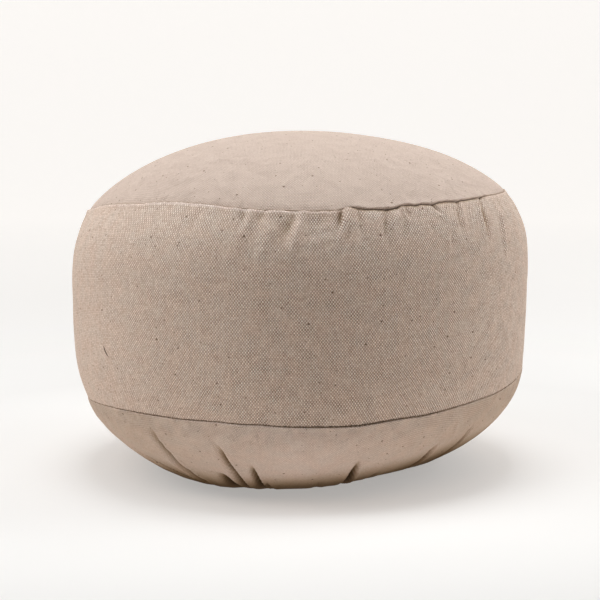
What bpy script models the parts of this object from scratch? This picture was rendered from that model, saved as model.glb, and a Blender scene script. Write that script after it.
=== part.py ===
"""Zafu meditation cushion of plain canvas, as three sewn pieces.

A round top panel, a side band with the fill behind it, and a round bottom panel. Metres, +Z up. The cushion
stands on z = 0 with its middle on the Z axis and its front towards -Y. Azimuth 0 is +X, and 270 the front.
"""

import math
from collections import namedtuple

import bmesh
import bpy

NAME = "zafu_meditation_cushion"
MM = 0.001
FULL_TURN = 2 * math.pi
FULL_TURN_DEGREES = 360

# Driving sizes of the filled cushion
WIDEST_RADIUS = 0.165
TOTAL_HEIGHT = 0.242
TOP_SEAM_HEIGHT = 0.194
TOP_SEAM_RADIUS = 0.148
BOTTOM_SEAM_HEIGHT = 0.063
BOTTOM_SEAM_RADIUS = 0.158
FOOT_RADIUS = 0.074

# The cloth and how its edges meet
CLOTH = 0.002  # a panel with its turned edge
GAP = 0.00035  # clearance between sewn pieces
EDGE_SINK = 0.0009  # how deep the turned edges lie in the seam
EDGE_ROUND = 0.0012  # width over which an edge turns into its seam

# Fullness of the fill
DOME_REACH = 1.109  # the crown is part of an ellipse that would close at this many seam radii
WIDEST_SHARE = 0.541  # the widest level, from the bottom seam (0) to the top seam (1)
SHOULDER_POWER = 3.0  # the curve from the widest level up to the top seam
SKIRT_POWER = 3.6  # the curve from the widest level down to the bottom seam
TUCK_POWER = 1.22  # the round under the bottom seam

# Fineness of the solids
SEGMENTS = 120
CROWN_RINGS = 5
BAND_RINGS = 11
UNDER_RINGS = 7
SLOPE_STEP = 1e-4  # share of a curve over which its direction is read

# How far the filled cushion departs from the driving sizes at each azimuth, in millimetres
Section = namedtuple(
    "Section",
    "azimuth top_height top_radius widest_radius bottom_radius bottom_height foot_radius",
)
SECTIONS = (
    Section(0, 8, -3, -1, 4, 10, 3),
    Section(45, 4, -2, -1, 2, 5, 2),
    Section(90, -1, 0, -1, 0, 0, 0),
    Section(135, -5, 2, -1, -2, -5, -3),
    Section(180, -9, 4, -1, -4, -11, -16),
    Section(225, 3, -2, 1, 0, -4, 17),
    Section(270, 0, 2, 0, 2, -4, 8),
    Section(315, 4, 1, -2, -1, 1, -14),
)

# Folds in the cloth. A share runs from the seam (0) to the far edge of its zone (1), and azimuths are in
# degrees. Depth and half width are in millimetres. Deepest is the place along the fold, 0 at its start.
Fold = namedtuple(
    "Fold",
    "zone start_azimuth start_share end_azimuth end_share depth half_width deepest",
)
FOLDS = (
    Fold("band", 270, 0.0, 265, 0.17, 1.4, 5, 0.0),
    Fold("band", 280, 0.0, 275, 0.20, 1.8, 5, 0.0),
    Fold("band", 294, 0.0, 291, 0.14, 1.2, 5, 0.0),
    Fold("band", 306, 0.0, 304, 0.14, 1.2, 5, 0.0),
    Fold("band", 321, 0.0, 320, 0.26, 2.0, 6, 0.0),
    Fold("band", 336, 0.0, 331, 0.24, 2.0, 6, 0.0),
    Fold("band", 36, 0.0, 39, 0.16, 1.4, 6, 0.0),
    Fold("band", 84, 0.0, 81, 0.18, 1.4, 6, 0.0),
    Fold("band", 141, 0.0, 144, 0.14, 1.2, 6, 0.0),
    Fold("under", 207, 0.30, 228, 0.90, 2.2, 6, 0.6),
    Fold("under", 231, 0.15, 241, 0.98, 3.6, 6, 0.6),
    Fold("under", 249, 0.20, 255, 0.98, 3.2, 5, 0.6),
    Fold("under", 261, 0.35, 261, 0.98, 2.4, 5, 0.6),
    Fold("under", 284, 0.30, 286, 0.98, 3.0, 6, 0.6),
    Fold("under", 306, 0.35, 305, 0.96, 2.0, 6, 0.6),
    Fold("under", 318, 0.15, 312, 0.96, 2.4, 6, 0.6),
    Fold("under", 348, 0.30, 345, 0.96, 2.2, 7, 0.6),
    Fold("under", 18, 0.25, 24, 0.96, 2.6, 7, 0.6),
    Fold("under", 54, 0.30, 51, 0.96, 2.2, 7, 0.6),
    Fold("under", 90, 0.20, 93, 0.96, 2.8, 7, 0.6),
    Fold("under", 126, 0.30, 123, 0.96, 2.2, 7, 0.6),
    Fold("under", 165, 0.25, 168, 0.96, 2.6, 7, 0.6),
)

CANVAS_TOP = (0.66, 0.54, 0.45, 1.0)
CANVAS_SIDE = (0.60, 0.49, 0.41, 1.0)
CANVAS_UNDER = (0.57, 0.46, 0.38, 1.0)
CANVAS_ROUGHNESS = 0.92


def read_round(column, azimuth):
    """A section column at any azimuth in degrees, on a smooth curve that closes on itself."""
    values = [getattr(section, column) for section in SECTIONS]
    place = (azimuth % FULL_TURN_DEGREES) / (FULL_TURN_DEGREES / len(values))
    first = int(place) % len(values)
    part = place - int(place)
    before, start, end, after = (values[(first + step) % len(values)] for step in (-1, 0, 1, 2))
    bend = part * (3 * (start - end) + after - before)
    bend = part * (2 * before - 5 * start + 4 * end - after + bend)
    return (start + 0.5 * part * (end - before + bend)) * MM


def sizes_at(azimuth):
    """The true sizes of the cushion's section at an azimuth, in metres."""
    return Section(
        azimuth,
        TOP_SEAM_HEIGHT + read_round("top_height", azimuth),
        TOP_SEAM_RADIUS + read_round("top_radius", azimuth),
        WIDEST_RADIUS + read_round("widest_radius", azimuth),
        BOTTOM_SEAM_RADIUS + read_round("bottom_radius", azimuth),
        BOTTOM_SEAM_HEIGHT + read_round("bottom_height", azimuth),
        FOOT_RADIUS + read_round("foot_radius", azimuth),
    )


def crown(sizes, share):
    """Radius and height on the crown, from its middle to the top seam."""
    drop = 1 - math.sqrt(1 - (share / DOME_REACH) ** 2)
    drop_at_seam = 1 - math.sqrt(1 - 1 / DOME_REACH**2)
    fall = (TOTAL_HEIGHT - sizes.top_height) * drop / drop_at_seam
    return sizes.top_radius * share, TOTAL_HEIGHT - fall


def band(sizes, share):
    """Radius and height on the side band, from the top seam to the bottom seam."""
    band_height = sizes.top_height - sizes.bottom_height
    up = 1 - share
    if up > WIDEST_SHARE:
        rise = (up - WIDEST_SHARE) / (1 - WIDEST_SHARE)
        drawn_in = (sizes.widest_radius - sizes.top_radius) * rise**SHOULDER_POWER
    else:
        sink = (WIDEST_SHARE - up) / WIDEST_SHARE
        drawn_in = (sizes.widest_radius - sizes.bottom_radius) * sink**SKIRT_POWER
    return sizes.widest_radius - drawn_in, sizes.bottom_height + band_height * up


def under(sizes, share):
    """Radius and height on the underside, from the bottom seam to the edge of the flat foot."""
    angle = share * FULL_TURN / 4
    reach = max(math.cos(angle), 0.0) ** TUCK_POWER
    sink = math.sin(angle) ** TUCK_POWER
    foot = sizes.foot_radius
    return foot + (sizes.bottom_radius - foot) * reach, sizes.bottom_height * (1 - sink)


ZONES = {"crown": crown, "band": band, "under": under}


def smooth(value):
    """0 below 0, 1 above 1, and a soft step between."""
    value = min(max(value, 0.0), 1.0)
    return value * value * (3 - 2 * value)


def relief(zone, sizes, share):
    """How far the folds push the cloth in (below 0) or out at a place on a zone."""
    radius = ZONES[zone](sizes, share)[0]
    total = 0.0
    for fold in FOLDS:
        if fold.zone != zone:
            continue
        along = (share - fold.start_share) / (fold.end_share - fold.start_share)
        if not 0 <= along < 1:
            continue
        line = fold.start_azimuth + (fold.end_azimuth - fold.start_azimuth) * along
        half_turn = FULL_TURN_DEGREES / 2
        aside = (sizes.azimuth - line + half_turn) % FULL_TURN_DEGREES - half_turn
        across = math.radians(aside) * radius / (fold.half_width * MM)
        if along < fold.deepest:
            fade = smooth(along / fold.deepest)
        else:
            fade = smooth((1 - along) / (1 - fold.deepest))
        total += fold.depth * MM * fade * (1.5 * across**2 - 1) * math.exp(-(across**2))
    return total


def on_zone(zone, sizes, share, out=0.0, onward=0.0):
    """A place on a zone, moved out of the cloth and onward along it, as radius and height."""
    curve = ZONES[zone]
    before = curve(sizes, max(share - SLOPE_STEP, 0.0))
    after = curve(sizes, min(share + SLOPE_STEP, 1.0))
    length = math.dist(before, after)
    ahead_radius = (after[0] - before[0]) / length
    ahead_height = (after[1] - before[1]) / length
    radius, height = curve(sizes, share)
    out += relief(zone, sizes, share)
    return (
        radius - ahead_height * out + ahead_radius * onward,
        height + ahead_radius * out + ahead_height * onward,
    )


CROWN_SHARES = [
    math.sin(FULL_TURN / 4 * ring / (CROWN_RINGS + 1)) for ring in range(1, CROWN_RINGS + 1)
]
BAND_SHARES = [
    (1 - math.cos(FULL_TURN / 2 * ring / (BAND_RINGS + 1))) / 2 for ring in range(1, BAND_RINGS + 1)
]
UNDER_SHARES = [ring / (UNDER_RINGS + 1) for ring in range(1, UNDER_RINGS + 1)]


def top_panel_section(sizes):
    """Over the crown to the seam, down the turned edge, and back under the cloth."""
    edge_share = 1 - EDGE_ROUND / sizes.top_radius
    outside = [on_zone("crown", sizes, share) for share in CROWN_SHARES + [edge_share]]
    edge = [on_zone("crown", sizes, 1.0, -depth) for depth in (EDGE_SINK, CLOTH)]
    inside = [on_zone("crown", sizes, share, -CLOTH) for share in reversed(CROWN_SHARES)]
    middle = [(0.0, TOTAL_HEIGHT), (0.0, TOTAL_HEIGHT - CLOTH)]
    return middle[:1] + outside + edge + inside + middle[1:]


def side_band_section(sizes):
    """The filled body: under the top panel, down the band, and over the bottom panel."""
    depth = CLOTH + GAP
    below_top = [on_zone("crown", sizes, share, -depth) for share in CROWN_SHARES]
    top_seam = [on_zone("crown", sizes, 1.0, -sink, GAP) for sink in (depth, EDGE_SINK)]
    outside = [on_zone("band", sizes, share) for share in BAND_SHARES]
    bottom_seam = [on_zone("under", sizes, 0.0, -sink, -GAP) for sink in (EDGE_SINK, depth)]
    above_bottom = [on_zone("under", sizes, share, -depth) for share in UNDER_SHARES + [1.0]]
    middle = [(0.0, TOTAL_HEIGHT - depth), (0.0, depth)]
    return middle[:1] + below_top + top_seam + outside + bottom_seam + above_bottom + middle[1:]


def bottom_panel_section(sizes):
    """From the middle over the cloth to the seam, down the turned edge, and under to the flat foot."""
    edge_share = EDGE_ROUND / sizes.bottom_height
    inside = [on_zone("under", sizes, share, -CLOTH) for share in reversed(UNDER_SHARES + [1.0])]
    edge = [on_zone("under", sizes, 0.0, -depth) for depth in (CLOTH, EDGE_SINK)]
    outside = [on_zone("under", sizes, share) for share in [edge_share] + UNDER_SHARES + [1.0]]
    return [(0.0, CLOTH)] + inside + edge + outside + [(0.0, 0.0)]


def split_quads(form, levels, segments, ring_radii):
    """Cuts each four-sided face from its inner ring onward, so that facing skins bend alike."""
    for face in [face for face in form.faces if len(face.verts) == 4]:
        corners = list(face.verts)
        inner = min((levels[corner] for corner in corners), key=lambda level: ring_radii[level])
        first, second = (corner for corner in corners if levels[corner] == inner)
        if (segments[first] + 1) % SEGMENTS == segments[second]:
            start = first
        else:
            start = second
        opposite = corners[(corners.index(start) + 2) % 4]
        bmesh.utils.face_split(face, start, opposite)


def sewn_piece(name, section, colour, collection):
    """One closed piece: a ball whose rings are drawn to the piece's section at every azimuth."""
    outlines = [
        section(sizes_at(FULL_TURN_DEGREES * segment / SEGMENTS)) for segment in range(SEGMENTS)
    ]
    last_level = len(outlines[0]) - 1
    form = bmesh.new()
    bmesh.ops.create_uvsphere(form, u_segments=SEGMENTS, v_segments=last_level, radius=1.0)
    levels = {}
    segments = {}
    for corner in form.verts:
        azimuth = math.atan2(corner.co.y, corner.co.x) % FULL_TURN
        tilt = math.acos(min(max(corner.co.z, -1.0), 1.0))
        levels[corner] = round(tilt / (FULL_TURN / 2) * last_level)
        segments[corner] = round(azimuth / FULL_TURN * SEGMENTS) % SEGMENTS
    for corner in form.verts:
        radius, height = outlines[segments[corner]][levels[corner]]
        azimuth = FULL_TURN * segments[corner] / SEGMENTS
        corner.co = (radius * math.cos(azimuth), radius * math.sin(azimuth), height)
    split_quads(form, levels, segments, [radius for radius, height in outlines[0]])
    mesh = bpy.data.meshes.new(name)
    form.to_mesh(mesh)
    form.free()
    mesh.shade_smooth()
    mesh.materials.append(canvas(name + "_canvas", colour))
    piece = bpy.data.objects.new(name, mesh)
    collection.objects.link(piece)
    return piece


def canvas(name, colour):
    """Unbleached cotton canvas in one colour."""
    material = bpy.data.materials.new(name)
    material.use_nodes = True
    shader = material.node_tree.nodes["Principled BSDF"]
    shader.inputs["Base Color"].default_value = colour
    shader.inputs["Roughness"].default_value = CANVAS_ROUGHNESS
    shader.inputs["Metallic"].default_value = 0.0
    return material


def main():
    for old in list(bpy.data.objects):
        bpy.data.objects.remove(old)
    collection = bpy.data.collections.new(NAME)
    bpy.context.scene.collection.children.link(collection)
    sewn_piece("filled_side_band", side_band_section, CANVAS_SIDE, collection)
    sewn_piece("top_panel", top_panel_section, CANVAS_TOP, collection)
    sewn_piece("bottom_panel", bottom_panel_section, CANVAS_UNDER, collection)


main()
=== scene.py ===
# %% [markdown]
# # A round floor cushion in unbleached canvas
# The real cushion is three pieces of cloth: a round top panel, a long side band and a round bottom panel,
# sewn edge to edge and stuffed until the band swells like a barrel. It leans a little, its seams wander,
# and the cloth puckers where more of it was sewn than the seam could take. Everything is in metres. The
# floor is z = 0, the front faces -Y, and azimuth 0 is +X, so azimuth 270 is the front.

import math
from collections import namedtuple
from functools import partial

import bpy
import numpy as np
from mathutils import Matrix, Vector


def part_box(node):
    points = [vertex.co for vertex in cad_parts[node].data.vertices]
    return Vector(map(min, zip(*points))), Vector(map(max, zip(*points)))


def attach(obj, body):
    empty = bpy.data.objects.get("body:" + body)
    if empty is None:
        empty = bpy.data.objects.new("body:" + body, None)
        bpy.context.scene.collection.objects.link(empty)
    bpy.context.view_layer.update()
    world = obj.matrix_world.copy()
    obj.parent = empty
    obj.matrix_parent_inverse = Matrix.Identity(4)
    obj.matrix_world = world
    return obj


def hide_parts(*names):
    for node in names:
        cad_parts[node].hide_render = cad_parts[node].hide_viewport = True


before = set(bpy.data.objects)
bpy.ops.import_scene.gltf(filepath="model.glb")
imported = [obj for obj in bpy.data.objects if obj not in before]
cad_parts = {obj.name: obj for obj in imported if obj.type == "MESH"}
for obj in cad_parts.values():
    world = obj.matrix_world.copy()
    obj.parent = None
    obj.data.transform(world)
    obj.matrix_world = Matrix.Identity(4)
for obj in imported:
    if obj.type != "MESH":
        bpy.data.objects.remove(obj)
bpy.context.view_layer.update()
print("nodes to dress:", sorted(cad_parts))

# %% [markdown]
# ## The camera
# A product photograph of this kind is taken with a long lens from about a metre away, slightly above the
# cushion. Seen so, the two seams bend the same way but not equally, and that gives the lens: 88 mm on a 36
# mm frame, looking down by 7 degrees.

# %% Camera
LENS_MM = 87.82
CAMERA_PLACE = (0.0, -1.0628, 0.25205)
CAMERA_DOWN_DEGREES = 7.14

camera_data = bpy.data.cameras.new("camera")
camera_data.lens = LENS_MM
camera_data.sensor_width = 36.0
camera_data.clip_start = 0.05
camera_data.clip_end = 60.0
camera = bpy.data.objects.new("camera", camera_data)
camera.location = CAMERA_PLACE
camera.rotation_euler = (math.radians(90 - CAMERA_DOWN_DEGREES), 0.0, 0.0)
bpy.context.scene.collection.objects.link(camera)
bpy.context.scene.camera = camera
bpy.context.scene.view_settings.view_transform = "Standard"
print("camera", round(-CAMERA_PLACE[1], 3), "m in front of the cushion's middle")

# %% [markdown]
# ## The cushion's section
# Cut through its middle, each half of the cushion shows three curves: the crown from the middle to the top
# seam, the band from seam to seam, and the round underneath to the edge of the flat foot. A real cushion is
# never quite round, so a table says how far seams and foot stray at eight azimuths, and a smooth closed
# curve is read between them. The solid underneath has the same sizes, so the cloth lies where the solid is.

# %% Sizes of the section
MM = 0.001
WIDEST_RADIUS = 0.165
TOTAL_HEIGHT = 0.242
TOP_SEAM_HEIGHT, TOP_SEAM_RADIUS = 0.194, 0.148
BOTTOM_SEAM_HEIGHT, BOTTOM_SEAM_RADIUS = 0.063, 0.158
FOOT_RADIUS = 0.074
CLOTH = 0.002
GAP = 0.00035
DOME_REACH = 1.109
WIDEST_SHARE = 0.541
SHOULDER_POWER, SKIRT_POWER, TUCK_POWER = 3.0, 3.6, 1.22

# azimuth, then in mm: top seam height and radius, widest radius, bottom seam radius and height, foot radius
SECTIONS = np.array([
    (0, 8, -3, -1, 4, 10, 3), (45, 4, -2, -1, 2, 5, 2), (90, -1, 0, -1, 0, 0, 0),
    (135, -5, 2, -1, -2, -5, -3), (180, -9, 4, -1, -4, -11, -16), (225, 3, -2, 1, 0, -4, 17),
    (270, 0, 2, 0, 2, -4, 8), (315, 4, 1, -2, -1, 1, -14),
], float)
Sizes = namedtuple("Sizes", "top_height top_radius widest_radius bottom_radius bottom_height foot_radius")
MIDDLES = Sizes(
    TOP_SEAM_HEIGHT, TOP_SEAM_RADIUS, WIDEST_RADIUS, BOTTOM_SEAM_RADIUS, BOTTOM_SEAM_HEIGHT, FOOT_RADIUS
)


def read_round(values, azimuth):
    """A column of values at any azimuth, on a smooth curve that closes on itself."""
    place = (azimuth % 360) / (360 / len(values))
    first = np.floor(place).astype(int) % len(values)
    part = place - np.floor(place)
    before, start, end, after = (values[(first + step) % len(values)] for step in (-1, 0, 1, 2))
    bend = part * (3 * (start - end) + after - before)
    bend = part * (2 * before - 5 * start + 4 * end - after + bend)
    return start + 0.5 * part * (end - before + bend)


def sizes_at(azimuth):
    """The section's sizes in metres at each azimuth."""
    strays = [read_round(SECTIONS[:, column], azimuth) * MM for column in range(1, 7)]
    return Sizes(*(middle + stray for middle, stray in zip(MIDDLES, strays)))


def crown(sizes, share):
    """Radius and height from the middle of the top (0) to the top seam (1)."""
    drop = 1 - np.sqrt(1 - (share / DOME_REACH) ** 2)
    drop_at_seam = 1 - math.sqrt(1 - 1 / DOME_REACH**2)
    height = TOTAL_HEIGHT - (TOTAL_HEIGHT - sizes.top_height) * drop / drop_at_seam
    return sizes.top_radius * share, height


def band(sizes, share):
    """Radius and height from the top seam (0) to the bottom seam (1)."""
    up = 1 - share
    rise = np.clip((up - WIDEST_SHARE) / (1 - WIDEST_SHARE), 0, 1) ** SHOULDER_POWER
    sink = np.clip((WIDEST_SHARE - up) / WIDEST_SHARE, 0, 1) ** SKIRT_POWER
    widest = sizes.widest_radius
    drawn_in = (widest - sizes.top_radius) * rise + (widest - sizes.bottom_radius) * sink
    return widest - drawn_in, sizes.bottom_height + (sizes.top_height - sizes.bottom_height) * up


def under(sizes, share):
    """Radius and height from the bottom seam (0) to the edge of the flat foot (1)."""
    angle = share * math.pi / 2
    reach = np.maximum(np.cos(angle), 0.0) ** TUCK_POWER
    radius = sizes.foot_radius + (sizes.bottom_radius - sizes.foot_radius) * reach
    return radius, sizes.bottom_height * (1 - np.sin(angle) ** TUCK_POWER)


ZONES = {"crown": crown, "band": band, "under": under}
band_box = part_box("filled_side_band")
print("side band solid reaches", round(band_box[1][0], 4), "m to the right; the section says", WIDEST_RADIUS)

# %% [markdown]
# ## Folds in the cloth
# The puckers under the top seam and the gathers underneath are what makes the cushion look sewn and
# stuffed. A cloth simulation would put folds somewhere. These have to be in known places, so each is a row
# in a table: places along the fold, a trough with a ridge on either side, and where it is strongest. A
# ridge alone is a trough of negative depth. A fold that leans has a steep right side and an easy left one.

# %% Fold table
Fold = namedtuple("Fold", "azimuths shares depth half_width deepest left right lean", defaults=(0, 0, 0))
# each row: azimuth and thousandths of the zone for each place on the fold; depth and half width in mm; the
# share of the fold at which it is deepest, left and right ridge in mm, and lean
FOLD_ROWS = {
    "band": (
        # puckers in the band under the top seam, left to right on the front
        ((241.5, 0, 242, 90), 0.4, 3, 0.3, 0.1, 0.2),
        ((256.6, 0, 256.5, 37, 256.2, 95), 1.2, 2.8, 0.3, 0.1, 0.3, 0.2),
        ((258.8, 0, 257.5, 80, 256.5, 140, 255.6, 210), -0.8, 2.4, 0.35),
        ((261.4, 0, 260.5, 43, 259.6, 110), 1.2, 2.8, 0.2, 0.1, 0.2),
        ((264.4, 20, 263.2, 98, 262.2, 147, 261.2, 205, 260.2, 290), -0.9, 2.6, 0.4),
        ((268.6, 0, 268, 50, 266.9, 88, 265.9, 133, 265, 200), 1.5, 4.2, 0.3, 0.1, 0.3, 0.3),
        ((271, 0, 270.2, 50, 269.5, 95, 269, 145, 268, 185, 266.9, 260), -1.9, 2.7, 0.4),
        ((275.4, 0, 275, 43, 273.6, 110), 0.7, 4.2, 0.4),
        ((277.4, 80, 275, 98, 273.2, 115, 271.6, 127), 0.5, 5, 0.5),
        ((279.2, 105, 276.8, 120, 275, 133, 273, 150, 271.2, 175), -0.6, 5, 0.4),
        ((280, 0, 279.6, 37, 278.8, 110), 2.5, 1.5, 0.25, 0.1, 0.2, 0.2),
        ((281.4, 0, 280.6, 55, 279.7, 100, 278.8, 135, 277.4, 200), -2.1, 2, 0.4),
        ((281.6, 30, 280.8, 115, 280.4, 230), 0.8, 2.4, 0.4),
        ((284, 0, 284.2, 40, 284, 103, 283.8, 180), 1.1, 1.8, 0.2, 0.1, 0.2),
        ((288, 0, 287.6, 50, 287.4, 120), -0.8, 3.2, 0.4),
        ((291, 0, 290.3, 65, 289.8, 125, 289.8, 200), 1.4, 1.6, 0.35, 0.1, 0.1),
        ((295.6, 0, 293.8, 35, 292.2, 77, 291, 155), -1.5, 2.1, 0.3),
        ((296.2, 20, 295.5, 55, 294.8, 98, 293.8, 170), 1.2, 1.7, 0.4, 0, 0.1),
        ((296.2, 0, 296.6, 30, 297.2, 80), 1, 1.2, 0.3, 0, 0.2),
        ((301.5, 70, 302, 100, 302.6, 145), 0.7, 1.2, 0.4, 0, 0.1),
        ((302.8, 30, 305.8, 62, 308.6, 92), -0.8, 3, 0.5),
        ((304.1, 0, 304.8, 13, 305.5, 33, 306.8, 60), 1.5, 1.4, 0.3, 0.1, 0.1),
        ((308.4, 70, 306.6, 150, 306, 250), -0.6, 2, 0.4),
        ((308.8, 100, 307.4, 180, 306.9, 260), 0.6, 1.6, 0.4),
        ((313.2, 0, 312, 52, 311.5, 98, 310.9, 190), 1.4, 1.6, 0.3, 0.1, 0.1),
        ((315, 0, 313.4, 68, 312.4, 160), -0.7, 2, 0.3),
        ((322.3, 0, 320.2, 65, 319.8, 113, 319.2, 160, 318.7, 230), -1.3, 1.5, 0.35),
        ((323.8, 0, 322.2, 70, 321.8, 118, 321, 175, 320.4, 260), 2, 1.9, 0.3, 0, 0.1),
        ((328.2, 20, 328, 95, 327.2, 168, 327, 242, 327, 340), 0.5, 2, 0.35),
        ((330.2, 10, 329.8, 90, 329.5, 135, 328.8, 198, 328.4, 273, 328.2, 390), -1.7, 1.7, 0.3),
        ((333.4, 0, 333.2, 50, 333.8, 130), 1, 2, 0.3, 0, 0.1),
        # a faint line where the band was pressed
        ((287.8, 235, 303.2, 260), 0.35, 10, 0.5),
        # puckers in the band round the back
        ((349, 0, 347, 220), 1, 2.4, 0.25, 0.1, 0.6), ((7, 0, 9, 160), 1.2, 2.4, 0.25, 0.4, 0.1),
        ((22, 0, 21, 120), 0.7, 2.4, 0.25, 0.1, 0.3), ((36, 0, 39, 200), 1.8, 2.6, 0.3, 0.6, 0.2),
        ((51, 0, 50, 140), 0.6, 3.4, 0.3, 0.1, 0.1), ((68, 0, 70, 180), 1.4, 2.2, 0.25, 0.5, 0.1),
        ((84, 0, 81, 220), 2.1, 2.4, 0.3, 0.1, 0.8), ((108, 0, 110, 150), 1.5, 2.2, 0.25, 0.4, 0.1),
        ((127, 0, 126, 120), 1, 2.4, 0.25, 0.1, 0.3), ((141, 0, 144, 180), 1.9, 2.4, 0.25, 0.6, 0.1),
        ((163, 0, 162, 100), 0.5, 3, 0.3, 0.1, 0.1), ((205, 0, 206, 90), 0.3, 3, 0.3, 0.1, 0.1),
    ),
    "crown": (
        # small creases in the top panel, close to the seam
        ((257.6, 930, 256, 985, 255.5, 1000), 0.5, 2.2, 0.6, 0.1, 0.3),
        ((252.5, 940, 254.5, 1000), 0.3, 2.2, 0.6, 0.1, 0.2),
        ((270, 950, 270.5, 1000), 0.4, 3, 0.8, 0.1, 0.2), ((284, 940, 283.5, 1000), -0.5, 3, 0.8),
        ((52, 940, 51, 1000), 0.5, 3, 0.8, 0.1, 0.2), ((121, 930, 123, 1000), 0.5, 3, 0.8, 0.2, 0.1),
        ((168, 940, 167, 1000), 0.4, 3, 0.8, 0.2, 0.1),
    ),
    "under": (
        # gathers in the bottom panel, left to right on the front
        ((206, 300, 214, 400, 222, 470, 226.5, 532, 229.5, 600, 234, 660, 236, 900), 3.4, 2.2, 0.5, 0.3,
          0.5),
        ((229, 280, 230.8, 395, 232.3, 460, 234, 540, 235.5, 700), -1, 2.6, 0.5),
        ((230.3, 30, 230.6, 90, 231, 145, 232, 245, 233.2, 320, 234.5, 417, 235.8, 500, 237.5, 580,
          238.4, 700, 238.5, 1000), 5.6, 2.1, 0.47, 0.4, 1.3, 0.3),
        ((240, 465, 242.8, 487, 245.2, 497, 247, 522, 247.6, 585, 247.7, 677, 247.5, 1000), 5, 3.2, 0.35,
          0.3, 0.2, 0.2),
        ((249.2, 300, 249.8, 380, 250, 455, 250.2, 557, 250, 720), -1, 1.6, 0.5),
        ((248.9, 140, 249.2, 170, 250, 233, 250.5, 275, 251, 350, 251.8, 438, 252.2, 522, 252, 652,
          251.5, 1000), 4.8, 1.9, 0.35, 0.3, 0.9, 0.3),
        ((257.6, 330, 257.5, 372, 257.5, 580, 257, 710, 256.8, 1000), 5, 1.9, 0.35, 0.3, 0.9, 0.3),
        ((260, 560, 259.2, 635, 259, 750, 259, 1000), 2, 1.7, 0.35, 0.2, 0.3),
        ((276.4, 560, 276.4, 1000), 0.9, 2.4, 0.4, 0, 0.3),
        ((285.8, 300, 285.8, 340, 286, 425, 286.2, 512, 286.8, 600, 288, 770, 288, 1000), 4.4, 2, 0.4, 0.4,
          1.1, 0.3),
        ((295.2, 500, 296, 600, 298, 800), 1, 2.4, 0.5, 0.2, 0.3),
        ((310.6, 300, 310.8, 360, 311, 410, 311.5, 453, 312.8, 520, 313.2, 600, 314, 900), 4.2, 1.9, 0.35,
          0.3, 0.9, 0.2),
        ((313.9, 40, 313.8, 85, 313.2, 150, 313.8, 220, 315.2, 295, 316, 362, 316.5, 440), -0.9, 1.9, 0.5),
        ((321.8, 190, 322.5, 253, 323.2, 307, 324, 362, 324.8, 425, 325.2, 470, 326, 550, 328, 900), 3.6,
          1.9, 0.4, 0.3, 0.9, 0.2),
        # gathers in the bottom panel round the back
        ((348, 250, 345, 960), 2.4, 3.6, 0.6, 0.6, 0.9), ((4, 350, 6, 960), 1.6, 3, 0.6, 0.5, 0.4),
        ((18, 200, 24, 960), 2.8, 3.8, 0.6, 1, 0.6), ((39, 350, 38, 960), 1.6, 3, 0.6, 0.5, 0.4),
        ((54, 250, 51, 960), 2.4, 3.6, 0.6, 0.6, 0.9), ((72, 320, 73, 960), 1.6, 3, 0.6, 0.5, 0.4),
        ((90, 180, 93, 960), 3, 3.8, 0.6, 1, 0.6), ((108, 350, 107, 960), 1.6, 3, 0.6, 0.5, 0.4),
        ((126, 250, 123, 960), 2.4, 3.6, 0.6, 0.6, 0.9), ((146, 320, 147, 960), 1.6, 3, 0.6, 0.5, 0.4),
        ((165, 200, 168, 960), 2.8, 3.8, 0.6, 1, 0.6), ((186, 320, 190, 960), 2, 3.2, 0.6, 0.6, 0.4),
    ),
}
FOLDS = {
    zone: [Fold(line[::2], [part / 1000 for part in line[1::2]], *rest) for line, *rest in rows]
    for zone, rows in FOLD_ROWS.items()
}
print(sum(len(folds) for folds in FOLDS.values()), "folds")

# %% Relief of the folds
RIDGE_OFFSET = 1.6  # how far a fold's side ridges lie from its trough, in half widths
PUCKER_AT_SEAM, PUCKER_GAIN = 0.55, 0.45  # how deep a pucker is where it leaves the seam, and what it gains


def smooth(value):
    """0 below 0, 1 above 1, and a soft step between."""
    value = np.clip(value, 0.0, 1.0)
    return value * value * (3 - 2 * value)


def bell(distance, width):
    """1 at no distance, and softly less around it."""
    return np.exp(-((distance / width) ** 2))


def degrees_from(middle, azimuth):
    """The short way round from a middle to an azimuth, -180 to 180."""
    return (azimuth - middle + 180) % 360 - 180


def fold_relief(zone, azimuth, share, radius):
    """How far all folds together move the cloth out, in metres."""
    total = np.zeros(np.broadcast(azimuth, share).shape)
    for fold in FOLDS[zone]:
        shares = fold.shares
        along = (share - shares[0]) / (shares[-1] - shares[0])
        line = np.interp(share, shares, fold.azimuths)
        across = np.radians(degrees_from(line, azimuth)) * radius / (fold.half_width * MM)
        across = across * np.where(across > 0, 1 + fold.lean, 1 - fold.lean)
        rising = smooth(along / fold.deepest)
        if zone == "band" and shares[0] == 0:
            rising = PUCKER_AT_SEAM + PUCKER_GAIN * rising
        falling = 1.0 if zone == "crown" else smooth((1 - along) / (1 - fold.deepest))
        fade = np.where(along < fold.deepest, rising, falling)
        fade = np.where((along < 0) | (along > 1), 0.0, fade)
        profile = -fold.depth * bell(across, 1)
        profile = profile + fold.left * bell(across + RIDGE_OFFSET, 1)
        profile = profile + fold.right * bell(across - RIDGE_OFFSET, 1)
        total = total + profile * fade * MM
    return total


print("deepest fold", max(fold.depth for folds in FOLDS.values() for fold in folds), "mm")

# %% [markdown]
# ## Loose stuffing under the cloth
# The fill is lumpy. Broad swells of less than a millimetre keep the light from sliding over the band as it
# would over plaster. They are sums of sine waves with seeded phases, whole waves round the cushion, so that
# they close on themselves.

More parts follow.
